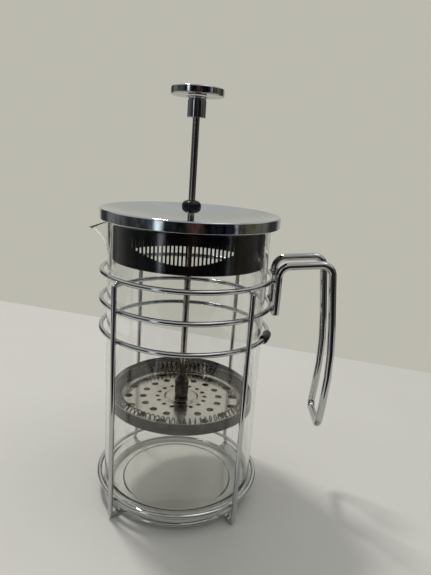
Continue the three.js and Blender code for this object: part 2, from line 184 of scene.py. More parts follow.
# (radius of the circle, radius of a hole, number of holes, first hole's angle)
PLATE_HOLES = [(15.5, 1.45, 16, 2), (24.8, 2.3, 16, 3), (34.1, 2.6, 16, 3)]
PLATE_LIP = 0.2
PLATE_LIP_WIDTH = 0.7
COIL_TURNS = 82
COIL_STEPS = 16
COIL_SIDES = 7
COIL_WIRE = 0.36
MESH_STEPS = 192
MESH_SHEET = 0.4
MESH_CORNER = 2
MESH_SOFT_EDGE = 3
MESH_EDGE_SWAY = 1.6
MESH_PITCH = 0.62
STUD_R = 2
STUD_CLEARANCE = 0.3
STUD_HEAD = (4.4, 5)  # radius below and above
CROSS_TOP_Z = 61.5
CROSS_SHEET = 1.1
CROSS_WINDOW = (12, 34.5, 37)  # (inner radius, outer radius, half its angle)


# ---------- mesh building ----------

def polar(r, degrees, z=0.0):
    angle = math.radians(degrees)
    return Vector((r * math.cos(angle), r * math.sin(angle), z))


def piece(name, shape, body, nodes, material, sharp=35):
    """A mesh object in the row frame that rides on a body and stands for its CAD nodes.

    shape is (vertices, faces), and sharp the angle from which an edge isn't shaded smooth.
    """
    verts, faces = shape
    mesh = bpy.data.meshes.new(name)
    place = [(v[0] * MM + AXIS.x, v[1] * MM + AXIS.y, v[2] * MM) for v in verts]
    mesh.from_pydata(place, [], faces)
    work = bmesh.new()
    work.from_mesh(mesh)
    bmesh.ops.remove_doubles(work, verts=work.verts, dist=MERGE_DISTANCE)
    bmesh.ops.recalc_face_normals(work, faces=work.faces)
    work.to_mesh(mesh)
    work.free()
    for polygon in mesh.polygons:
        polygon.use_smooth = True
    mesh.set_sharp_from_angle(angle=math.radians(sharp))
    mesh.materials.append(material)
    obj = bpy.data.objects.new(name, mesh)
    bpy.context.scene.collection.objects.link(obj)
    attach(obj, body)
    if nodes:
        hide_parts(*nodes)
    return obj


def crisp(obj):
    """Keeps broad faces flat, so that only the narrow rounding beside them turns the light."""
    obj.modifiers.new("normals", "WEIGHTED_NORMAL").keep_sharp = True
    return obj


def arc(centre, radius, start, end, steps):
    """Profile points on an arc, between two angles in degrees."""
    points = []
    for i in range(steps + 1):
        angle = math.radians(start + (end - start) * i / steps)
        points.append((centre[0] + radius * math.cos(angle), centre[1] + radius * math.sin(angle)))
    return points


def eased(profile, radius, steps=3, closed=True):
    """The profile with its sharp corners rounded, apart from those on the axis."""
    count = len(profile)
    result = []
    for i, point in enumerate(profile):
        at = Vector(point)
        open_end = not closed and i in (0, count - 1)
        if at.x < 1e-6 or open_end:
            result.append(point)
            continue
        before = Vector(profile[i - 1]) - at
        after = Vector(profile[(i + 1) % count]) - at
        reach = min(radius, before.length * 0.45, after.length * 0.45)
        turn = before.angle(after)
        if turn > math.radians(165) or reach < 1e-4:
            result.append(point)
            continue
        start = at + before.normalized() * reach
        end = at + after.normalized() * reach
        for k in range(steps + 1):
            t = k / steps
            bend = start * (1 - t) ** 2 + at * 2 * t * (1 - t) + end * t ** 2
            result.append((bend.x, bend.y))
    return result


def turned(profile, segments=128, closed=True):
    """Vertices and faces of a profile of (radius, z) points turned about the press axis."""
    verts, faces, rings = [], [], []
    for r, z in profile:
        if r < 1e-6:
            rings.append([len(verts)] * segments)
            verts.append((0, 0, z))
            continue
        rings.append(list(range(len(verts), len(verts) + segments)))
        verts.extend(polar(r, 360 * i / segments, z) for i in range(segments))
    pairs = list(zip(rings, rings[1:]))
    if closed:
        pairs.append((rings[-1], rings[0]))
    for lower, upper in pairs:
        for i in range(segments):
            j = (i + 1) % segments
            corners = [lower[i], lower[j], upper[j], upper[i]]
            face = list(dict.fromkeys(corners))
            if len(face) > 2:
                faces.append(face)
    return verts, faces


def bent_route(start, bends, end, step=6):
    """A wire's centre line: straight between its bends, which are (corner, radius)."""
    stops = [start] + [corner for corner, _ in bends] + [end]
    points = [start]
    for i, (corner, radius) in enumerate(bends):
        towards = (corner - stops[i]).normalized()
        away = (stops[i + 2] - corner).normalized()
        turn = towards.angle(away)
        reach = radius * math.tan(turn / 2)
        centre = corner + (away - towards).normalized() * (radius / math.cos(turn / 2))
        spoke = corner - towards * reach - centre
        hinge = towards.cross(away).normalized()
        steps = max(3, math.ceil(math.degrees(turn) / step))
        for k in range(steps + 1):
            points.append(centre + Matrix.Rotation(turn * k / steps, 3, hinge) @ spoke)
    points.append(end)
    return points


def swept(points, radii, sides, closed=False):
    """A tube along points, with one radius or a radius for each point, and flat ends if open."""
    count = len(points)
    if not isinstance(radii, (list, tuple)):
        radii = [radii] * count
    verts, faces = [], []
    side = None
    for i, point in enumerate(points):
        before = points[i - 1] if i or closed else point
        after = points[(i + 1) % count] if i < count - 1 or closed else point
        along = (after - before).normalized()
        if side is None:
            side = along.orthogonal().normalized()
        side = (side - along * side.dot(along)).normalized()
        other = along.cross(side)
        for k in range(sides):
            angle = 2 * math.pi * k / sides
            verts.append(point + (side * math.cos(angle) + other * math.sin(angle)) * radii[i])
    for i in range(count if closed else count - 1):
        a, b = i * sides, (i + 1) % count * sides
        for k in range(sides):
            j = (k + 1) % sides
            faces.append([a + k, a + j, b + j, b + k])
    if not closed:
        faces.append(list(range(sides))[::-1])
        faces.append([(count - 1) * sides + k for k in range(sides)])
    return verts, faces


def domed(points, radius, rounding, steps=4):
    """The points and radii of a rod whose two ends are rounded over."""
    first = (points[1] - points[0]).normalized()
    last = (points[-2] - points[-1]).normalized()
    route, radii = [], []
    for k in range(steps + 1):
        angle = math.pi / 2 * k / steps
        route.append(points[0] + first * rounding * (1 - math.cos(angle)))
        radii.append(radius - rounding * (1 - math.sin(angle)))
    route.extend(points[1:-1])
    radii.extend([radius] * (len(points) - 2))
    for k in range(steps + 1):
        angle = math.pi / 2 * k / steps
        route.append(points[-1] + last * rounding * (1 - math.sin(angle)))
        radii.append(radius - rounding * (1 - math.cos(angle)))
    return route, radii


def joined(*parts):
    """Several (verts, faces) as one."""
    verts, faces = [], []
    for part_verts, part_faces in parts:
        start = len(verts)
        verts.extend(part_verts)
        faces.extend([start + i for i in face] for face in part_faces)
    return verts, faces


# ---------- materials ----------

# Painted shade where a surface faces down, standing in for the dim surroundings it would mirror:
# the upward part of a surface's normal where the painted shade starts and where it is darkest, and
# the share of its colour that is left there
UNDERSIDE_PAINTED_SHADE = (-0.6, -0.95, 0.45)
SCREEN_UNDERSIDE_PAINTED_SHADE = (0.1, -0.6, 0.2)

FINE_BUMP = 0.0002
FILM = (0.98, 0.982, 0.972)
WHITE = (1, 1, 1)
STRAIGHT_THROUGH = (0.94, 0.94, 0.925, 1)
DUST_SHARE = 1.8
DUST_LIFT = 0.004
SCREEN_DARK = (0.07, 0.06, 0.045)
SCREEN_LIGHT = (0.2, 0.175, 0.135)


def new_material(name):
    material = bpy.data.materials.new(name)
    material.use_nodes = True
    nodes = material.node_tree.nodes
    return material, nodes, material.node_tree.links, nodes["Principled BSDF"]


def noise(nodes, links, coordinates, scale, detail, roughness):
    texture = nodes.new("ShaderNodeTexNoise")
    texture.inputs["Scale"].default_value = scale
    texture.inputs["Detail"].default_value = detail
    texture.inputs["Roughness"].default_value = roughness
    links.new(coordinates, texture.inputs["Vector"])
    return texture.outputs["Fac"]


def math_node(nodes, links, operation, *values):
    """A maths node, fed with numbers and with other nodes' outputs."""
    node = nodes.new("ShaderNodeMath")
    node.operation = operation
    for socket, value in zip(node.inputs, values):
        if isinstance(value, (int, float)):
            socket.default_value = value
        else:
            links.new(value, socket)
    return node.outputs["Value"]


def spread(nodes, links, value, low, high, start=0.0, end=1.0):
    """Maps a value from start to end to one from low to high."""
    node = nodes.new("ShaderNodeMapRange")
    limits = (("From Min", start), ("From Max", end), ("To Min", low), ("To Max", high))
    for name, limit in limits:
        node.inputs[name].default_value = limit
    links.new(value, node.inputs["Value"])
    return node.outputs["Result"]


def scaled(nodes, links, colour, share):
    node = nodes.new("ShaderNodeVectorMath")
    node.operation = "SCALE"
    links.new(colour, node.inputs["Vector"])
    links.new(share, node.inputs["Scale"])
    return node.outputs["Vector"]


def tint(nodes, links, value, dark, light):
    ramp = nodes.new("ShaderNodeValToRGB")
    ramp.color_ramp.elements[0].position = 0.3
    ramp.color_ramp.elements[0].color = (*dark, 1)
    ramp.color_ramp.elements[1].position = 0.7
    ramp.color_ramp.elements[1].color = (*light, 1)
    links.new(value, ramp.inputs["Fac"])
    return ramp.outputs["Color"]


def bump(nodes, links, shader, height, strength, distance):
    node = nodes.new("ShaderNodeBump")
    node.inputs["Strength"].default_value = strength
    node.inputs["Distance"].default_value = distance
    links.new(height, node.inputs["Height"])
    links.new(node.outputs["Normal"], shader.inputs["Normal"])


def painted_shade_below(nodes, links, colour, limits):
    """The colour, painted darker where the surface faces down.

    It stands in for the dim things that such a surface mirrors in a real room.
    """
    start, full, share = limits
    facing = nodes.new("ShaderNodeSeparateXYZ")
    links.new(nodes.new("ShaderNodeNewGeometry").outputs["Normal"], facing.inputs["Vector"])
    left = spread(nodes, links, facing.outputs["Z"], share, 1, full, start)
    return scaled(nodes, links, colour, left)


def metal(name, dark, light, rough, ripple=0.02, grain=900):
    """Plated or bare metal: faint smears in its colour and polish, a very slight ripple, and
    painted shade on its undersides, standing in for the dim surroundings they would mirror."""
    material, nodes, links, shader = new_material(name)
    place = nodes.new("ShaderNodeTexCoord").outputs["Object"]
    smears = noise(nodes, links, place, scale=60, detail=4, roughness=0.6)
    fine = noise(nodes, links, place, scale=grain, detail=2, roughness=0.5)
    shader.inputs["Metallic"].default_value = 1
    colour = tint(nodes, links, smears, dark, light)
    # Painted shade: the colour is darkened where the surface faces down.
    links.new(painted_shade_below(nodes, links, colour, UNDERSIDE_PAINTED_SHADE), shader.inputs["Base Color"])
    links.new(spread(nodes, links, smears, *rough), shader.inputs["Roughness"])
    bump(nodes, links, shader, fine, ripple, FINE_BUMP)
    return material


def clear_glass():
    """Clear glass with a faint film on it. Shadow rays and rays that leave a dull surface go straight
    through, so that a lamp lights what is behind the glass once, and without caustics."""
    material, nodes, links, shader = new_material("clear_glass")
    place = nodes.new("ShaderNodeTexCoord").outputs["Object"]
    film = noise(nodes, links, place, scale=45, detail=3, roughness=0.6)
    shader.inputs["Transmission Weight"].default_value = 1
    shader.inputs["IOR"].default_value = 1.47
    links.new(tint(nodes, links, film, FILM, WHITE), shader.inputs["Base Color"])
    links.new(spread(nodes, links, film, 0.0, 0.02), shader.inputs["Roughness"])
    straight = nodes.new("ShaderNodeBsdfTransparent")
    straight.inputs["Color"].default_value = STRAIGHT_THROUGH
    path = nodes.new("ShaderNodeLightPath").outputs
    surface = shader.outputs["BSDF"]
    for ray in ("Is Diffuse Ray", "Is Shadow Ray"):
        mix = nodes.new("ShaderNodeMixShader")
        links.new(path[ray], mix.inputs["Fac"])
        links.new(surface, mix.inputs[1])
        links.new(straight.outputs["BSDF"], mix.inputs[2])
        surface = mix.outputs["Shader"]
    links.new(surface, nodes["Material Output"].inputs["Surface"])
    return material


def moulded(name, colour, rough, depth, gloss):
    """Moulded plastic or rubber, with a fine skin texture and faint dusty patches."""
    material, nodes, links, shader = new_material(name)
    place = nodes.new("ShaderNodeTexCoord").outputs["Object"]
    patches = noise(nodes, links, place, scale=50, detail=3, roughness=0.6)
    skin = noise(nodes, links, place, scale=2600, detail=2, roughness=0.5)
    lighter = tuple(c * DUST_SHARE + DUST_LIFT for c in colour)
    links.new(tint(nodes, links, patches, colour, lighter), shader.inputs["Base Color"])
    links.new(spread(nodes, links, patches, *rough), shader.inputs["Roughness"])
    shader.inputs["Specular IOR Level"].default_value = gloss
    bump(nodes, links, shader, skin, strength=0.15, distance=depth)
    return material


def woven_screen():
    """Fine woven wire: two sets of waves across the sheet's own UV give the wires and the holes."""
    material, nodes, links, shader = new_material("woven_screen")
    split = nodes.new("ShaderNodeSeparateXYZ")
    links.new(nodes.new("ShaderNodeUVMap").outputs["UV"], split.inputs["Vector"])
    waves = []
    for axis in ("X", "Y"):
        angle = math_node(nodes, links, "MULTIPLY", split.outputs[axis], 2 * math.pi)
        waves.append(math_node(nodes, links, "COSINE", angle))
    wires = math_node(nodes, links, "MAXIMUM", *waves)
    place = nodes.new("ShaderNodeTexCoord").outputs["Object"]
    stain = noise(nodes, links, place, scale=120, detail=3, roughness=0.6)
    shader.inputs["Metallic"].default_value = 1
    colour = tint(nodes, links, stain, SCREEN_DARK, SCREEN_LIGHT)
    # Painted shade: the screen's colour is darkened where it faces down, standing in for the dim
    # surroundings it would mirror.
    links.new(painted_shade_below(nodes, links, colour, SCREEN_UNDERSIDE_PAINTED_SHADE), shader.inputs["Base Color"])
    links.new(spread(nodes, links, stain, 0.32, 0.5), shader.inputs["Roughness"])
    bump(nodes, links, shader, wires, strength=0.6, distance=FINE_BUMP)
    links.new(math_node(nodes, links, "GREATER_THAN", wires, 0.0), shader.inputs["Alpha"])
    return material


CHROME = metal("chrome", (0.53, 0.54, 0.54), (0.58, 0.59, 0.59), (0.03, 0.07), 0.01)
LID_CHROME = metal("lid_chrome", (0.49, 0.53, 0.55), (0.55, 0.59, 0.61), (0.04, 0.08), 0.01)
ROD_STEEL = metal("rod_steel", (0.38, 0.36, 0.33), (0.5, 0.48, 0.45), (0.1, 0.18))
FILTER_STEEL = metal("filter_steel", (0.56, 0.53, 0.46), (0.68, 0.65, 0.57), (0.1, 0.2), 0.05, 1500)
COIL_STEEL = metal("coil_steel", (0.06, 0.055, 0.045), (0.2, 0.185, 0.16), (0.16, 0.3), 0.05)
GLASS = clear_glass()
PLASTIC = moulded("black_plastic", (0.003, 0.003, 0.0033), (0.3, 0.42), 0.00004, 0.08)
RUBBER = moulded("black_rubber", (0.005, 0.005, 0.006), (0.16, 0.26), 0.00005, 0.25)
SCREEN = woven_screen()


# ---------- wire frame ----------

def wire_ring(node):
    radius, wire, z = ring_size(node)
    points = [polar(radius, 360 * i / RING_STEPS, z) for i in range(RING_STEPS)]
    shape = swept(points, wire, WIRE_SIDES, closed=True)
    return piece(node + "_wire", shape, "frame", [node], CHROME)


def upright_wire(name):
    """One upright: its foot is bent sharply inwards and up to the ring that the glass stands on."""
    node = "upright_" + name
    angle = UPRIGHT_ANGLES[name]
    top = span(node)[1].z
    ring, wire, _ = ring_size("ring_top")
    support, _, support_z = ring_size("ring_support")
    radius = ring + 2 * wire + WELD_GAP
    foot = polar(radius, angle, wire)
    heel = polar(radius - FOOT_LENGTH, angle, wire)
    toe = polar(support + wire * TOE_OVERLAP, angle, support_z)
    route = bent_route(polar(radius, angle, top), [(foot, FOOT_BEND), (heel, TOE_BEND)], toe)
    points, radii = domed(route, wire, WIRE_END_ROUNDING)
    shape = swept(points, radii, WIRE_SIDES)
    return piece(node + "_wire", shape, "frame", [node], CHROME)


def handle_rod():
    turn = Matrix.Rotation(math.radians(HANDLE_AZIMUTH), 3, "Z")

    def place(spot, side):
        return turn @ Vector((spot[0], side * HANDLE_HALF_SPACING, spot[1]))

    bends = [(place(spot, -1), radius) for spot, radius in HANDLE_BENDS]
    bends += [(place(spot, 1), radius) for spot, radius in reversed(HANDLE_BENDS)]
    route = bent_route(place(HANDLE_END, -1), bends, place(HANDLE_END, 1), 4)
    points, radii = domed(route, HANDLE_ROD, WIRE_END_ROUNDING)
    shape = swept(points, radii, HANDLE_SIDES)
    return piece("handle_rod", shape, "frame", ["handle"], CHROME)


def weld(centre, along, across, size):
    """A small flattened fillet of weld metal: long along one wire, and reaching into both."""
    rows, columns = 7, 12
    third = along.cross(across).normalized()
    verts, faces = [], []
    for i in range(rows + 1):
        tilt = math.pi * i / rows
        for k in range(columns):
            angle = 2 * math.pi * k / columns
            verts.append(centre + along * size[0] * math.cos(tilt)
                         + across * size[1] * math.sin(tilt) * math.cos(angle)
                         + third * size[2] * math.sin(tilt) * math.sin(angle))
    for i in range(rows):
        for k in range(columns):
            j = (k + 1) % columns
            faces.append([i * columns + k, i * columns + j,
                          (i + 1) * columns + j, (i + 1) * columns + k])
    return verts, faces


def frame_welds():
    up = Vector((0, 0, 1))
    parts = []
    ring, wire, top_z = ring_size("ring_top")
    support, _, support_z = ring_size("ring_support")
    seam = ring + wire + WELD_GAP / 2
    for angle in UPRIGHT_ANGLES.values():
        outward = polar(1, angle)
        for node in ("ring_middle", "ring_lower", "ring_base"):
            height = ring_size(node)[2]
            parts.append(weld(outward * seam + up * height, up, outward, RING_WELD))
        parts.append(weld(outward * seam + up * (top_z - wire), up, outward, TOP_WELD))
        toe = outward * (support + wire) + up * support_z
        parts.append(weld(toe, outward, up, TOE_WELD))
    turn = Matrix.Rotation(math.radians(HANDLE_AZIMUTH), 3, "Z")
    for side in (-1, 1):
        leg = turn @ Vector((HANDLE_END[0], side * HANDLE_HALF_SPACING, 0))
        outward = leg.normalized()
        for node in ("ring_top", "ring_middle"):
            height = ring_size(node)[2]
            parts.append(weld(outward * seam + up * height, up, outward, HANDLE_WELD))
    return piece("frame_welds", joined(*parts), "frame", [], CHROME)


def ring_sleeve():
    """A soft tube on the lower ring, a little fuller in its middle than at its rounded ends."""
    radius, wire, z = ring_size("ring_lower")
    low, high = span("ring_sleeve")
    outer = (high.z - low.z) / 2
    least = wire + SLEEVE_LEAST_WALL
    first, last = SLEEVE_SPAN
    points, radii = [], []
    for i in range(SLEEVE_STEPS + 1):
        t = i / SLEEVE_STEPS
        points.append(polar(radius, first + (last - first) * t, z))
        edge = min(t, 1 - t) * SLEEVE_STEPS / SLEEVE_END_STEPS
        radii.append(least + (outer - least) * min(1, edge) ** 0.5)
    shape = swept(points, radii, sides=20)
    return piece("ring_sleeve_rubber", shape, "frame", ["ring_sleeve"], RUBBER)


# ---------- beaker ----------

def spout_drawn(point, rim_z):
    """Moves a point of the wall outwards and down, most at the rim on the spout's centre line."""
    off = abs((math.degrees(math.atan2(point.y, point.x)) - SPOUT_ANGLE + 180) % 360 - 180)
    if off >= SPOUT_HALF_ANGLE or point.z <= SPOUT_START:
        return point
    across = math.cos(math.pi / 2 * off / SPOUT_HALF_ANGLE) ** 2
    up = (point.z - SPOUT_START) / (rim_z - SPOUT_START)
    flare = up * up * (1 + SPOUT_FLARE - SPOUT_FLARE * up)
    r = math.hypot(point.x, point.y)
    stretch = (r + SPOUT_REACH * across * flare) / r
    return Vector((point.x * stretch, point.y * stretch, point.z - SPOUT_DROP * across * up ** 3))


def beaker():
    outer, bottom, rim = turned_size("glass_beaker")
    inner = outer - GLASS_WALL
    floor = bottom + GLASS_FLOOR
    heel = GLASS_HEEL_INSIDE
    spout_rows = [SPOUT_START + (rim - 1 - SPOUT_START) * i / SPOUT_ROWS for i in range(SPOUT_ROWS + 1)]
    rows = [*GLASS_WALL_ROWS, *spout_rows]
    shoulder = bottom + PUNT_DEPTH * PUNT_SHOULDER - PUNT_ROUNDING
    profile = [
        *[(r, bottom + PUNT_DEPTH * share) for r, share in PUNT_DOME],
        *arc((PUNT_R - 2 * PUNT_ROUNDING, shoulder), PUNT_ROUNDING, 80, 10, 4),
        (PUNT_R, bottom + 0.3),
        (PUNT_R + 0.4, bottom),
        *arc((outer - GLASS_HEEL, bottom + GLASS_HEEL), GLASS_HEEL, -90, 0, 10),
        *[(outer, z) for z in rows],
        *arc((outer - GLASS_WALL / 2, rim - GLASS_WALL / 2), GLASS_WALL / 2, 0, 180, 8),
        *[(inner, z) for z in reversed(rows)],
        *arc((inner - heel, floor + heel), heel, 0, -90, 8),
        *[(r, floor - dip) for r, dip in GLASS_FLOOR_DIP],
    ]
    verts, faces = turned(profile, GLASS_STEPS, closed=False)
    shape = [spout_drawn(Vector(v), rim) for v in verts], faces
    return crisp(piece("beaker", shape, "beaker", ["glass_beaker"], GLASS, sharp=60))


# ---------- lid ----------

def lid():
    """The cap: a sheet dished towards its hole, with a flat border, a skirt and a rounded hem."""
    outer, _, rim = turned_size("lid_cap")
    edge = outer - LID_BORDER
    rise = rim - LID_BORDER_DROP - LID_DISH_Z
    stations = [edge - (edge - LID_HOLE_R) * i / LID_DISH_ROWS for i in range(LID_DISH_ROWS + 1)]
    top = [(r, LID_DISH_Z + rise * (r / edge) ** 2) for r in stations]
    underside = [(r, z - LID_SHEET) for r, z in top]
    underside[0] = (edge - 0.3, underside[0][1])
    hem_z = LID_SKIRT_Z + LID_HEM
    profile = [
        (outer, hem_z),
        *arc((outer - LID_ROUNDING, rim - LID_ROUNDING), LID_ROUNDING, 0, 90, 6),
        *top,
        *reversed(underside),
        (outer - LID_SHEET, rim - LID_ROUNDING - 0.3),
        (outer - LID_SHEET, hem_z),
        *arc((outer - LID_SHEET / 2, hem_z), LID_SHEET / 2, 180, 360, 6)[1:-1],
    ]
    shape = turned(profile, LID_STEPS)
    return crisp(piece("lid_cap_sheet", shape, "lid", ["lid_cap"], LID_CHROME, sharp=50))


def slotted_wall(outer, inner, bottom, top):
    """The sleeve's wall as a closed skin: its slots run straight in along Y and end on an arc."""
    across = [2 * i / (SLOT_COUNT - 1) - 1 for i in range(SLOT_COUNT)]
    edges = [SLOT_MIDDLE_X + a * SLOT_HALF_SPREAD + side * SLOT_WIDTH / 2
             for a in across for side in (-1, 1)]
    lows = [SLOT_LOW + SLOT_RISE * a ** 2 for a in across for _ in (-1, 1)]
    plain = 96
    count = len(edges) + plain - 1
    lows += [SLOT_LOW + SLOT_RISE] * (plain - 1)
    verts, faces = [], []
    rows, slot_row = 5, 2
    for radius in (outer, inner):
        angles = [math.degrees(math.asin(x / radius)) - 90 for x in edges]
        clear = angles[0] + 360 - angles[-1]
        angles += [angles[-1] + clear * i / plain for i in range(1, plain)]
        for angle, low in zip(angles, lows):
            heights = (bottom, (bottom + low) / 2, low, SLOT_TOP, top)
            verts.extend(polar(radius, angle, z) for z in heights)

    def at(layer, column, row):
        return (layer * count + column % count) * rows + row

    def patch(layer, column, row):
        return [at(layer, column, row), at(layer, column + 1, row),
                at(layer, column + 1, row + 1), at(layer, column, row + 1)]

    for column in range(count):
        is_slot = column < len(edges) and column % 2 == 0
        for row in range(rows - 1):
            skins = patch(0, column, row), patch(1, column, row)
            if is_slot and row == slot_row:
                front, back = skins
                faces.extend([front[k], front[k - 1], back[k - 1], back[k]] for k in range(4))
            else:
                faces.extend(skins)
        for row in (0, rows - 1):
            faces.append([at(0, column, row), at(0, column + 1, row),
                          at(1, column + 1, row), at(1, column, row)])
    return verts, faces


def strainer():
    """The moulded sleeve: slotted wall, bottom lip, flange, the web round the guide and two nubs."""
    flange_r, bottom, _ = turned_size("strainer_sleeve")
    outer, inner = STRAINER_R, STRAINER_R - STRAINER_WALL
    lip_z, flange_top = bottom + STRAINER_LIP, FLANGE_Z + FLANGE_SHEET
    web_r, (web_low, web_high) = inner + 0.3, STRAINER_WEB
    lip = [(inner, bottom), (outer, bottom), (outer, lip_z), (inner, lip_z)]
    flange = [(inner, FLANGE_Z - STRAINER_LIP), (outer, FLANGE_Z - STRAINER_LIP), (outer, FLANGE_Z),
              (flange_r, FLANGE_Z), (flange_r, flange_top), (inner, flange_top)]
    web = [(web_r, web_low), (LID_HOLE_R, web_low), (LID_HOLE_R, web_high), (web_r, web_high)]
    nubs = [weld(polar(outer - NUB_INSET, angle, bottom + NUB_LIFT), polar(1, angle + 90),
                 polar(1, angle), NUB_SIZE) for angle in NUB_ANGLES]
    shape = joined(
        slotted_wall(outer, inner, bottom + 0.4, FLANGE_Z - 0.4),
        turned(eased(lip, 0.3), STRAINER_STEPS),
        turned(eased(flange, 0.25), STRAINER_STEPS),
        turned(eased(web, 0.2)),
        *nubs,
    )
    obj = piece("strainer_sleeve_moulding", shape, "lid", ["strainer_sleeve"],
                PLASTIC, sharp=30)
    bevel = obj.modifiers.new("edges", "BEVEL")
    bevel.width = STRAINER_EDGE * MM
    bevel.segments = 2
    bevel.limit_method = "ANGLE"
    bevel.angle_limit = math.radians(50)
    return crisp(obj)


def guide():
    flange_r, bottom, top = turned_size("guide_bushing")
    seat = top - GUIDE_FLANGE
    profile = eased([
        (ROD_BORE, bottom), (GUIDE_TUBE_R, bottom), (GUIDE_TUBE_R, seat), (flange_r, seat + 0.1),
        (flange_r, top - 0.15), (flange_r - 0.5, top), (ROD_BORE, top)], 0.2)
    crisp(piece("guide_bushing_turned", turned(profile, 64), "lid_guide", ["guide_bushing"],
                ROD_STEEL))
    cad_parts["guide_nut"].data.materials.clear()
    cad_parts["guide_nut"].data.materials.append(ROD_STEEL)


def bead():
    outer, bottom, top = turned_size("rod_bead")
    rounding = (top - bottom) / 2 * BEAD_ROUNDNESS
    profile = [
        (ROD_BORE, bottom + 0.5),
        (ROD_BORE + 0.5, bottom),
        *arc((outer - rounding, bottom + rounding), rounding, -90, 0, 8),
        *arc((outer - rounding, top - rounding), rounding, 0, 90, 8),
        (ROD_BORE + 0.5, top),
        (ROD_BORE, top - 0.5),
    ]
    shape = turned(profile, 96)
    return crisp(piece("rod_bead_rubber", shape, "lid_guide", ["rod_bead"], RUBBER))


# ---------- plunger ----------

def rod():
    radius, bottom, top = turned_size("plunger_rod")
    profile = eased([(0, bottom), (radius, bottom), (radius, top), (0, top)], 0.3, closed=False)
    shape = turned(profile, 48, closed=False)
    return crisp(piece("rod", shape, "plunger", ["plunger_rod"], ROD_STEEL))


def collar():
    """The knob's stem, with a small step where it meets the disc."""
    outer, bottom, top = turned_size("knob_collar")
    neck = outer - COLLAR_NECK_DEPTH
    bore_top = turned_size("plunger_rod")[2] + 0.3
    profile = eased([
        (ROD_BORE, bottom), (outer, bottom), (outer, top - 2.2), (neck, top - 1.9),
        (neck, top - 1.0), (outer, top - 0.7), (outer, top), (0, top), (0, bore_top),
        (ROD_BORE, bore_top)], 0.3)
    shape = turned(profile, 96)
    return crisp(piece("knob_stem", shape, "plunger", ["knob_collar"], CHROME))


def knob():
    """The knob's disc, with a shallow recess below, round the stem."""
    outer, bottom, top = turned_size("knob_disc")
    edge = eased([(8, bottom), (outer, bottom), (outer, top), (8, top)], 0.9, 5, closed=False)
    profile = [
        (0, bottom + KNOB_RECESS), (KNOB_RECESS_R, bottom + KNOB_RECESS), (KNOB_RECESS_R + 0.4, bottom),
        *edge[1:], (0, top),
    ]
    shape = turned(profile, 160, closed=False)
    return crisp(piece("knob", shape, "plunger", ["knob_disc"], CHROME))


def hub():
    outer, bottom, top = turned_size("filter_hub")
    shoulder = top - HUB_SHOULDER
    profile = eased([
        (ROD_BORE, bottom), (outer - 0.3, bottom), (outer - 0.3, bottom + 1.3), (outer, bottom + 1.6),
        (outer, shoulder - 0.4), (outer - 0.5, shoulder), (HUB_NECK_R, shoulder + 0.1),
        (HUB_NECK_R - 0.2, top), (ROD_BORE, top)], 0.3)
    shape = turned(profile, 96)
    return crisp(piece("hub", shape, "plunger", ["filter_hub"], COIL_STEEL))


# ---------- filter ----------

def ring_points(centre, radius, count):
    return [Vector((centre[0] + radius * math.cos(2 * math.pi * i / count),
                    centre[1] + radius * math.sin(2 * math.pi * i / count))) for i in range(count)]


def inside(point, outline):
    """Whether a flat point lies within a closed outline."""
    crossed = False
    for a, b in zip(outline, outline[1:] + outline[:1]):
        between = (a.y > point.y) != (b.y > point.y)
        if between and point.x < (b.x - a.x) * (point.y - a.y) / (b.y - a.y) + a.x:
            crossed = not crossed
    return crossed


def boxed(outline):
    """An outline after its lowest and highest x and y."""
    xs, ys = [p.x for p in outline], [p.y for p in outline]
    return min(xs), max(xs), min(ys), max(ys), outline


def in_a_hole(point, boxes):
    return any(x0 < point.x < x1 and y0 < point.y < y1 and inside(point, outline)
               for x0, x1, y0, y1, outline in boxes)


def open_edges(triangles):
    """The edges that only one of the triangles has."""
    border = {}
    for triangle in triangles:
        for a, b in zip(triangle, triangle[1:] + triangle[:1]):
            if (b, a) in border:
                del border[(b, a)]
            else:
                border[(a, b)] = True
    return border


def pierced_sheet(circles, holes, height, thickness):
    """A disc with holes, lifted by height(x, y) and given a thickness.

    circles are the radii of rings of points about the axis, the first the inner edge and the last
    the outer one. Each hole is a list of points.
    """
    points, edges = [], []
    for loop in [ring_points((0, 0), radius, SHEET_STEPS) for radius in circles] + holes:
        start = len(points)
        points.extend(loop)
        edges.extend((start + i, start + (i + 1) % len(loop)) for i in range(len(loop)))
    flat, _, triangles, *_ = delaunay_2d_cdt(points, edges, [], 0, SHEET_TOLERANCE)
    boxes = [boxed(outline) for outline in holes]
    kept = []
    for triangle in triangles:
        middle = sum((flat[i] for i in triangle), Vector((0, 0))) / 3
        if circles[0] < middle.length < circles[-1] and not in_a_hole(middle, boxes):
            kept.append(list(triangle))
    verts = [(p.x, p.y, height(p.x, p.y)) for p in flat]
    count = len(verts)
    verts += [(x, y, z - thickness) for x, y, z in verts]
    faces = kept + [[i + count for i in reversed(triangle)] for triangle in kept]
    faces += [[b, a, a + count, b + count] for a, b in open_edges(kept)]
    return verts, faces


def eased_step(value, start, end):
    """0 before start, 1 after end, and a smooth slope between them."""
    t = min(1, max(0, (value - start) / (end - start)))
    return t * t * (3 - 2 * t)


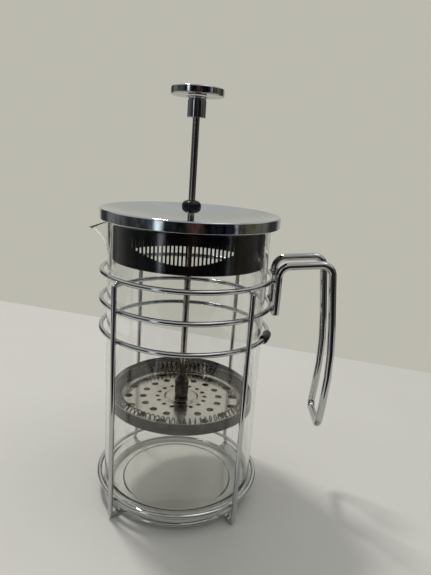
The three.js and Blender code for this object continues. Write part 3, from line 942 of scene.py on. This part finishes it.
def filter_plate():
    """The perforated plate: a raised boss at the hub, a pressed lip round every hole, and at the
    edge a ledge and an upturned rim round the spring."""
    outer, _, rim_top = turned_size("filter_plate")
    boss, foot, rise = PLATE_BOSS
    inner_r, outer_r, ledge = PLATE_LEDGE
    centres = [(polar(circle, turn + 360 * i / count), r)
               for circle, r, count, turn in PLATE_HOLES for i in range(count)]
    holes = [ring_points(centre, r, 24) for centre, r in centres]

    def height(x, y):
        distance = math.hypot(x, y)
        lift = rise * (1 - eased_step(distance, boss, foot))
        lift += ledge * eased_step(distance, inner_r, outer_r)
        lip = min(math.hypot(x - centre.x, y - centre.y) - r for centre, r in centres)
        return PLATE_TOP_Z + lift + PLATE_LIP * max(0, 1 - lip / PLATE_LIP_WIDTH) ** 2

    slopes = [boss + (foot - boss) * i / 6 for i in range(7)]
    slopes += [inner_r + (outer_r - inner_r) * i / 4 for i in range(5)]
    circles = [STUD_R + STUD_CLEARANCE, boss - 1, *slopes, outer - PLATE_SHEET - 0.1]
    sheet = pierced_sheet(circles, holes, height, PLATE_SHEET)
    wall = outer - PLATE_SHEET
    base = PLATE_TOP_Z + ledge
    rim = eased([(wall, base), (wall, rim_top), (outer, rim_top), (outer, base - PLATE_SHEET),
                 (wall - 0.3, base - PLATE_SHEET), (wall - 0.3, base)], 0.35)
    shape = joined(sheet, turned(rim, SHEET_STEPS))
    return crisp(piece("filter_plate_pierced", shape, "filter", ["filter_plate"],
                       FILTER_STEEL, sharp=40))


def filter_spring():
    """The coil spring, wound round inside the mesh's upturned edge."""
    radius, coil, z = ring_size("filter_spring")
    reach = coil - COIL_WIRE
    steps = COIL_TURNS * COIL_STEPS
    points = []
    for i in range(steps):
        along = 2 * math.pi * i / steps
        round_coil = along * COIL_TURNS
        r = radius + reach * math.cos(round_coil)
        height = z + reach * math.sin(round_coil)
        points.append(Vector((r * math.cos(along), r * math.sin(along), height)))
    shape = swept(points, COIL_WIRE, COIL_SIDES, closed=True)
    return piece("filter_spring_coil", shape, "filter", ["filter_spring"], COIL_STEEL)


def sheet_uv(obj, pitch):
    """UVs that count wires: round the sheet, and along it outwards and up."""
    mesh = obj.data
    layer = mesh.uv_layers.new(name="UVMap")
    radius = max(math.hypot(v.co.x - AXIS.x, v.co.y - AXIS.y) for v in mesh.vertices)
    around = round(2 * math.pi * radius / (pitch * MM))
    for polygon in mesh.polygons:
        first = None
        for index in polygon.loop_indices:
            co = mesh.vertices[mesh.loops[index].vertex_index].co
            x, y = co.x - AXIS.x, co.y - AXIS.y
            angle = math.atan2(y, x)
            if first is None:
                first = angle
            if first - angle > math.pi:
                angle += 2 * math.pi
            elif angle - first > math.pi:
                angle -= 2 * math.pi
            up = (math.hypot(x, y) + co.z) / (pitch * MM)
            layer.data[index].uv = (angle / (2 * math.pi) * around, up)


def edge_swayed(point, bottom, top):
    """The soft edge has settled lower at the front than at the back, and is a little uneven."""
    stiff = bottom + MESH_SOFT_EDGE
    up = max(0, (point.z - stiff) / (top - stiff))
    angle = math.atan2(point.y, point.x)
    sway = MESH_EDGE_SWAY * math.sin(angle)
    sway += 0.12 * math.sin(7 * angle) + 0.08 * math.sin(17 * angle + 1)
    return Vector((point.x, point.y, point.z + sway * up))


def filter_mesh():
    """The woven screen: flat below the plate, and turned up round the spring."""
    outer, bottom, top = turned_size("filter_mesh")
    inner = outer - MESH_SHEET
    flat = (STUD_R + STUD_CLEARANCE, 20, 36)
    corner = (outer - MESH_CORNER, bottom + MESH_CORNER)
    profile = [
        *[(r, bottom) for r in flat],
        (outer - MESH_CORNER - 0.2, bottom),
        *arc(corner, MESH_CORNER, -80, 0, 5),
        (outer, top - 3), (outer, top - 0.3), (outer - 0.1, top), (inner, top), (inner, top - 3),
        *arc(corner, MESH_CORNER - MESH_SHEET, 0, -80, 5),
        *[(r, bottom + MESH_SHEET) for r in reversed(flat)],
    ]
    verts, faces = turned(profile, MESH_STEPS)
    shape = [edge_swayed(Vector(v), bottom, top) for v in verts], faces
    obj = piece("filter_mesh_screen", shape, "filter", ["filter_mesh"], SCREEN, sharp=60)
    sheet_uv(obj, MESH_PITCH)
    return obj


def cross_plate():
    """The cross: a rim, four spokes and a middle, with the stud's rounded head below it."""
    low, high = span("cross_plate")
    outer = turned_size("cross_plate")[0]
    inner_r, outer_r, half = CROSS_WINDOW
    holes = []
    for middle in (0, 90, 180, 270):
        far = [polar(outer_r, middle - half + 2 * half * i / 18) for i in range(19)]
        near = [polar(inner_r, middle + half - 2 * half * i / 8) for i in range(9)]
        holes.append([p.to_2d() for p in far + near])
    circles = [0.5, 6, outer - 1.5, outer]
    sheet = pierced_sheet(circles, holes, lambda x, y: CROSS_TOP_Z, CROSS_SHEET)
    head_low, head_high = STUD_HEAD
    head = eased([(0, low.z), (head_low, low.z), (head_high, CROSS_TOP_Z - CROSS_SHEET),
                  (head_high, CROSS_TOP_Z - 0.2), (STUD_R, CROSS_TOP_Z), (STUD_R, high.z - 0.4),
                  (STUD_R - 0.4, high.z), (0, high.z)], 0.3, closed=False)
    shape = joined(sheet, turned(head, 48, closed=False))
    return piece("cross_plate_pressed", shape, "filter", ["cross_plate"], FILTER_STEEL)


def build_press():
    for node in ("ring_top", "ring_middle", "ring_lower", "ring_base", "ring_support"):
        wire_ring(node)
    for name in UPRIGHT_ANGLES:
        upright_wire(name)
    handle_rod()
    frame_welds()
    ring_sleeve()
    beaker()
    lid()
    strainer()
    guide()
    bead()
    rod()
    collar()
    knob()
    hub()
    filter_plate()
    filter_spring()
    filter_mesh()
    cross_plate()


# ---------- stage, light and camera ----------

# Metres and radians from here on, apart from the bands
WORKTOP_FRONT = -0.19
WORKTOP_BACK = 0.302  # where the worktop meets the wall, straight behind the press
WORKTOP_SLANT = -0.349  # the wall's change of y for each metre to the right
WORKTOP_HALF = 0.6
CAMERA_DISTANCE = 0.2974
CAMERA_HEIGHT = 0.2156
CAMERA_YAW = 0.0595
CAMERA_PITCH = 0.2523
CAMERA_ROLL = 0.0695
CAMERA_LENS = 30.8473  # millimetres, on a sensor 36 mm long
WALL_COLOUR = (0.5, 0.49, 0.43)
CEILING_FRONT = (0.42, 0.43, 0.43)
CEILING_BACK = (0.58, 0.58, 0.55)
CEILING_EDGE = (0.36, 0.5)  # the upward part of a direction where it starts and is full
CLUTTER_NOISE = (0.4, 0.6)
CLUTTER_SHARE = (0.15, 1.7)
# The room's bands, as degrees from the camera's side of the press (positive to the right) and colour
ROOM_BANDS = [
    (-180, (0.55, 0.54, 0.48)), (-152, (0.5, 0.49, 0.44)), (-142, (0.05, 0.05, 0.05)),
    (-126, (0.04, 0.04, 0.04)), (-118, (0.2, 0.2, 0.19)), (-96, (0.14, 0.14, 0.135)),
    (-84, (0.06, 0.06, 0.06)), (-60, (0.04, 0.045, 0.05)), (-46, (0.08, 0.09, 0.11)),
    (-41, (0.8, 0.85, 0.9)), (-36, (0.8, 0.85, 0.9)), (-31, (0.02, 0.02, 0.02)),
    (-6, (0.012, 0.012, 0.012)), (4, (0.06, 0.03, 0.025)), (16, (0.05, 0.03, 0.03)),
    (24, (0.01, 0.01, 0.014)), (53, (0.012, 0.012, 0.02)), (57, (0.4, 0.42, 0.45)),
    (60, (0.4, 0.42, 0.4)), (66, (0.05, 0.045, 0.03)), (86, (0.1, 0.09, 0.06)),
    (104, (0.16, 0.15, 0.135)), (116, (0.04, 0.04, 0.04)), (134, (0.05, 0.05, 0.05)),
    (146, (0.4, 0.39, 0.35)), (180, (0.55, 0.54, 0.48)),
]


def worktop():
    left, right = AXIS.x - WORKTOP_HALF, AXIS.x + WORKTOP_HALF
    slant = WORKTOP_SLANT * WORKTOP_HALF
    mesh = bpy.data.meshes.new("worktop")
    mesh.from_pydata([(left, WORKTOP_FRONT, 0), (right, WORKTOP_FRONT, 0),
                      (right, WORKTOP_BACK + slant, 0), (left, WORKTOP_BACK - slant, 0)],
                     [], [[0, 1, 2, 3]])
    floor = bpy.data.objects.new("worktop", mesh)
    bpy.context.scene.collection.objects.link(floor)
    material, nodes, links, shader = new_material("pale_worktop")
    place = nodes.new("ShaderNodeTexCoord").outputs["Object"]
    mottle = noise(nodes, links, place, scale=14, detail=3, roughness=0.5)
    links.new(tint(nodes, links, mottle, (0.69, 0.68, 0.65), (0.71, 0.7, 0.67)),
              shader.inputs["Base Color"])
    shader.inputs["Roughness"].default_value = 0.45
    mesh.materials.append(material)


def area_light(name, place, size, power, colour):
    """A rectangular lamp that faces the origin."""
    light = bpy.data.lights.new(name, "AREA")
    light.shape = "RECTANGLE"
    light.size, light.size_y = size
    light.energy = power
    light.color = colour
    obj = bpy.data.objects.new(name, light)
    obj.location = place
    obj.rotation_euler = (-Vector(place)).to_track_quat("-Z", "Y").to_euler()
    bpy.context.scene.collection.objects.link(obj)


def banded(nodes, links, turn):
    """The room's bands, from a turn of 0 to 1 about the vertical."""
    ramp = nodes.new("ShaderNodeValToRGB")
    elements = ramp.color_ramp.elements
    while len(elements) < len(ROOM_BANDS):
        elements.new(0.5)
    for element, (degrees, colour) in zip(elements, ROOM_BANDS):
        element.position = (degrees + 180) / 360
        element.color = (*colour, 1)
    links.new(turn, ramp.inputs["Fac"])
    return ramp.outputs["Color"]


def mixed(nodes, links, share, first, second):
    """A mix of two colours, each a tuple or another node's output."""
    node = nodes.new("ShaderNodeMix")
    node.data_type = "RGBA"
    links.new(share, node.inputs["Factor"])
    for name, value in (("A", first), ("B", second)):
        if isinstance(value, tuple):
            node.inputs[name].default_value = (*value, 1)
        else:
            links.new(value, node.inputs[name])
    return node.outputs["Result"]


def room():
    """A plain wall colour behind the press, and a room for its chrome and glass to reflect.

    The room is a ramp of bright and dark bands round the horizon, patchy in front, under a pale
    ceiling. It is seen only in reflections and as soft light: the camera, also through the glass,
    sees the plain wall.
    """
    world = bpy.data.worlds.new("room")
    bpy.context.scene.world = world
    world.use_nodes = True
    nodes, links = world.node_tree.nodes, world.node_tree.links

    def maths(*terms):
        return math_node(nodes, links, *terms)

    direction = nodes.new("ShaderNodeTexCoord").outputs["Generated"]
    split = nodes.new("ShaderNodeSeparateXYZ")
    links.new(direction, split.inputs["Vector"])
    x, y, z = (split.outputs[axis] for axis in ("X", "Y", "Z"))
    bearing = maths("ARCTAN2", x, maths("MULTIPLY", y, -1.0))
    bands = banded(nodes, links, maths("MULTIPLY_ADD", bearing, 1 / (2 * math.pi), 0.5))
    above = spread(nodes, links, z, 0, 1, *CEILING_EDGE)
    behind = spread(nodes, links, y, 0, 1, -0.5, 0.5)
    ceiling = mixed(nodes, links, behind, CEILING_FRONT, CEILING_BACK)
    clutter = noise(nodes, links, direction, scale=5, detail=3, roughness=0.7)
    patchy = scaled(nodes, links, bands, spread(nodes, links, clutter, *CLUTTER_SHARE, *CLUTTER_NOISE))
    horizon = mixed(nodes, links, behind, patchy, bands)
    surroundings = mixed(nodes, links, above, horizon, ceiling)
    path = nodes.new("ShaderNodeLightPath").outputs
    seen = maths("MAXIMUM", path["Is Camera Ray"], path["Is Transmission Ray"])
    bounced = maths("ADD", path["Diffuse Depth"], path["Glossy Depth"])
    direct = maths("MULTIPLY", seen, maths("LESS_THAN", bounced, 0.5))
    wall = mixed(nodes, links, direct, surroundings, WALL_COLOUR)
    links.new(wall, nodes["Background"].inputs["Color"])


def camera():
    """The view: from in front of the press axis, turned a little right, tipped down and rolled."""
    forward = Vector((math.sin(CAMERA_YAW) * math.cos(CAMERA_PITCH),
                      math.cos(CAMERA_YAW) * math.cos(CAMERA_PITCH), -math.sin(CAMERA_PITCH)))
    right = Vector((math.cos(CAMERA_YAW), -math.sin(CAMERA_YAW), 0))
    up = right.cross(forward)
    roll = Matrix.Rotation(-CAMERA_ROLL, 3, forward)
    turn = Matrix((roll @ right, roll @ up, -(roll @ forward))).transposed()
    data = bpy.data.cameras.new("camera")
    data.sensor_width = 36
    data.lens = CAMERA_LENS
    data.clip_start = 0.01
    obj = bpy.data.objects.new("camera", data)
    obj.matrix_world = Matrix.Translation((AXIS.x, -CAMERA_DISTANCE, CAMERA_HEIGHT)) @ turn.to_4x4()
    bpy.context.scene.collection.objects.link(obj)
    bpy.context.scene.camera = obj


camera()
build_press()
worktop()
room()
area_light("ceiling_lamp", (-0.4, 0.4, 1.45), (0.18, 0.18), power=8.6, colour=(1, 0.98, 0.93))
area_light("ceiling_fill", (0.5, -0.2, 1.5), (0.9, 0.6), power=2, colour=(1, 0.99, 0.96))
bpy.context.scene.view_settings.view_transform = "Standard"
